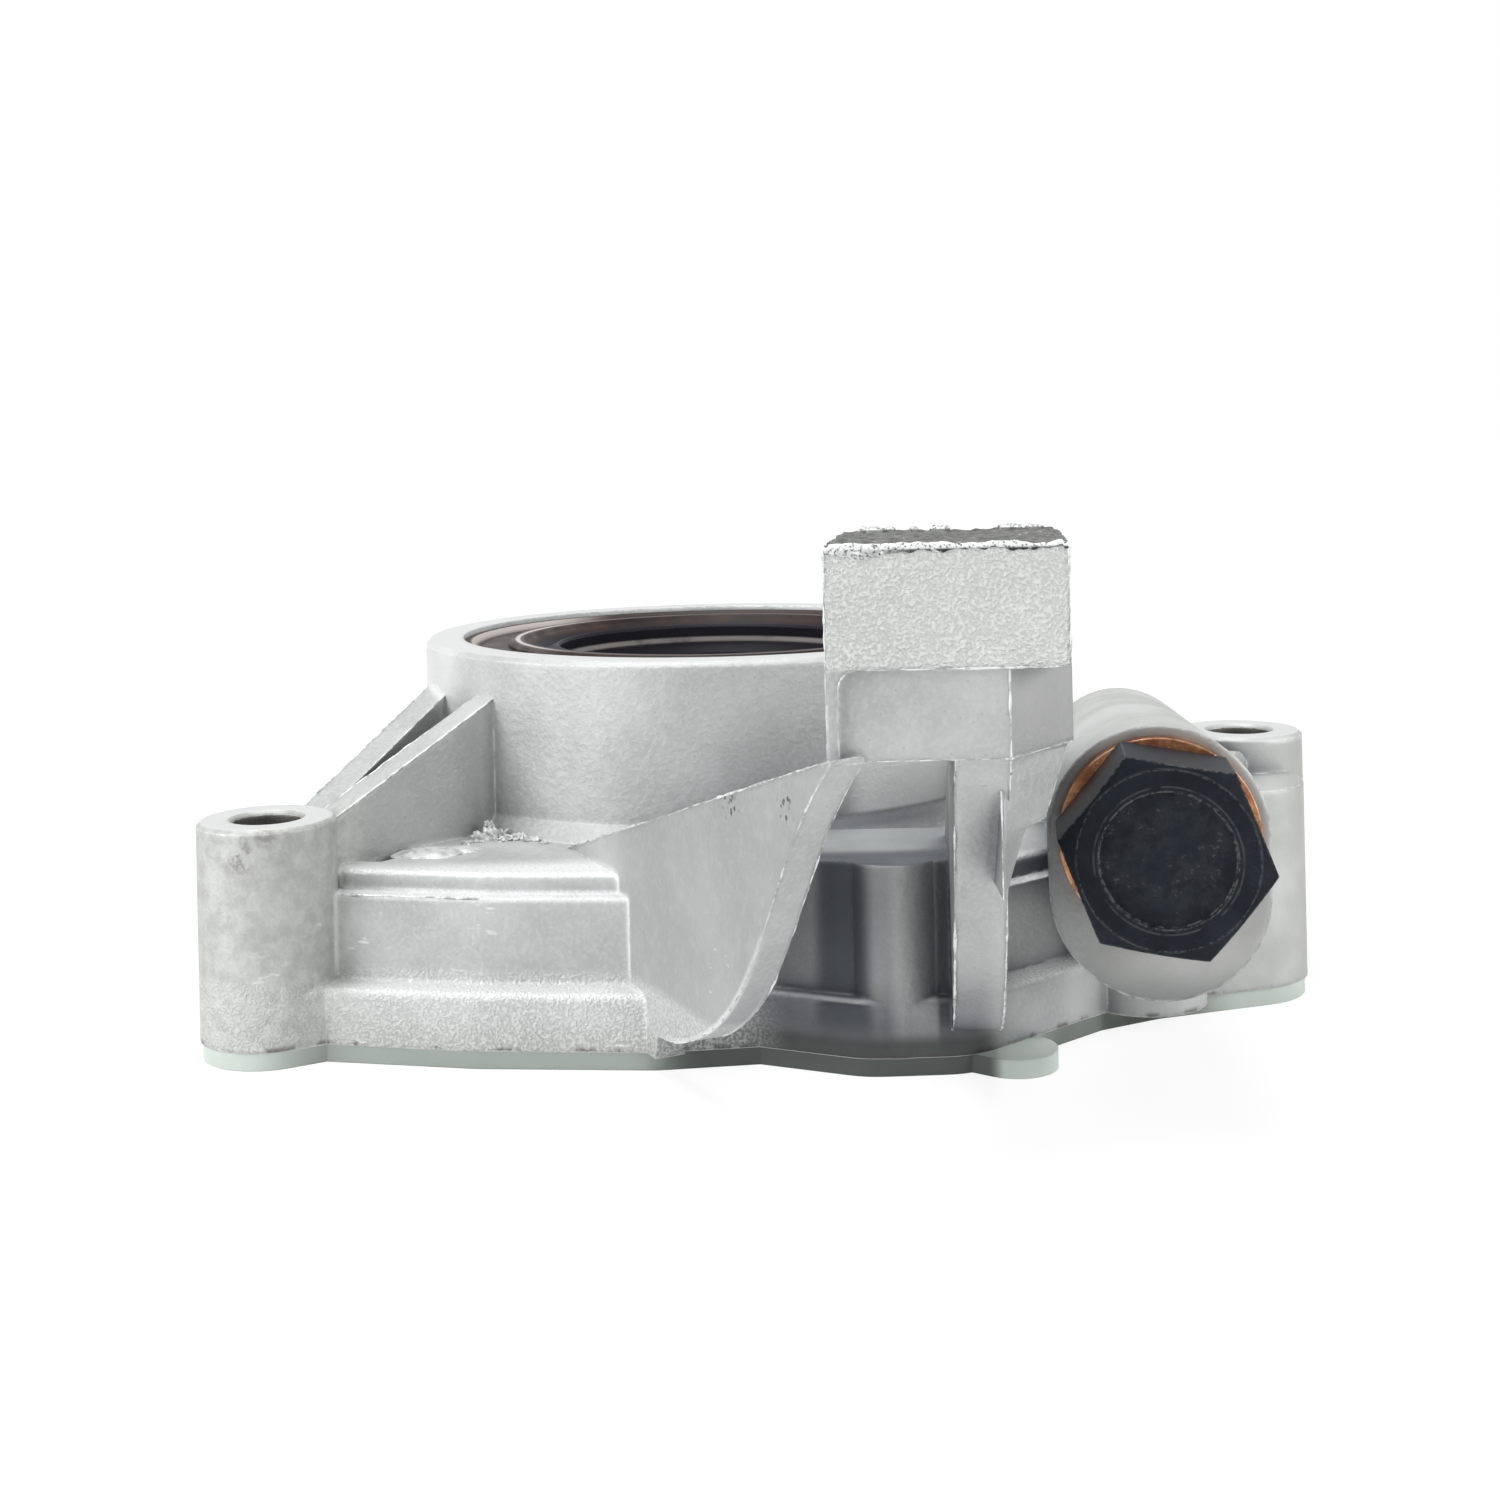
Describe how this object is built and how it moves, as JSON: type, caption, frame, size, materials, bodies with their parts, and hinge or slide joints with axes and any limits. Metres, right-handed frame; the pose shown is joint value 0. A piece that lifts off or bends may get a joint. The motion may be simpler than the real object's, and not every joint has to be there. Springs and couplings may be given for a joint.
{
  "type": "engine oil pump",
  "caption": "Crankshaft-driven gerotor oil pump in a die-cast body, with crank oil seal, relief valve under a hexagon plug, cover plate, bracket arm and flange with bolt bosses.",
  "frame": {"origin": "on the crank axis, in the mating face of the casting, where the cover plate's bore begins; the gasket lies just below it", "axes": "+Z along the crank axis from the engine block to the front oil seal, -Y towards the bracket arm, +X towards the relief valve"},
  "size_m": [0.1197, 0.1592, 0.0528],
  "materials": {
    "cast_aluminium": "fine blasted die casting",
    "cover_steel": "ground steel",
    "black_steel": "black oxide",
    "bright_steel": "ground steel",
    "sintered_steel": "sintered, ground faces",
    "seal_coat": "rubber-coated steel",
    "seal_rubber": "moulded rubber, slight sheen",
    "copper": "annealed copper",
    "spring_steel": "drawn wire",
    "gasket": "pale pressed sheet"
  },
  "bodies": {
    "housing": {"pump_body": "cast_aluminium", "cover_plate": "cover_steel", "cover_screws": "black_steel", "cover_pins": "bright_steel", "seal_case": "seal_coat", "seal_stiffener": "bright_steel", "seal_lip": "seal_rubber", "seal_garter": "bright_steel", "relief_plug": "black_steel", "relief_washer": "copper", "spring_cup": "bright_steel", "relief_spring": "spring_steel", "flange_gasket": "gasket", "outlet_oring": "seal_rubber", "inlet_oring": "seal_rubber", "outlet_gallery_plug": "bright_steel", "inlet_gallery_plug": "bright_steel"},
    "inner_rotor": {"inner_rotor": "sintered_steel"},
    "outer_rotor": {"outer_rotor": "sintered_steel"},
    "relief_piston": {"relief_piston": "bright_steel"}
  },
  "joints": [
    {"name": "outer_rotor_spin", "type": "hinge", "parent": "housing", "child": "outer_rotor", "pos_m": [-0.00242, -0.00065, 0.00756], "axis": [0, 0, 1], "continuous": true},
    {"name": "inner_rotor_spin", "type": "hinge", "parent": "housing", "child": "inner_rotor", "pos_m": [0, 0, 0.00756], "axis": [0, 0, 1], "continuous": true},
    {"name": "relief_piston_slide", "type": "slide", "parent": "housing", "child": "relief_piston", "axis": [-0.1305, -0.9914, 0], "range_m": [0, 0.007], "stiffness_N_per_m": 1500, "springref_m": -0.006, "deforming": ["relief_spring"]}
  ],
  "couplings": [
    {"joint": "inner_rotor_spin", "follows": "outer_rotor_spin", "ratio": 1.1111}
  ]
}
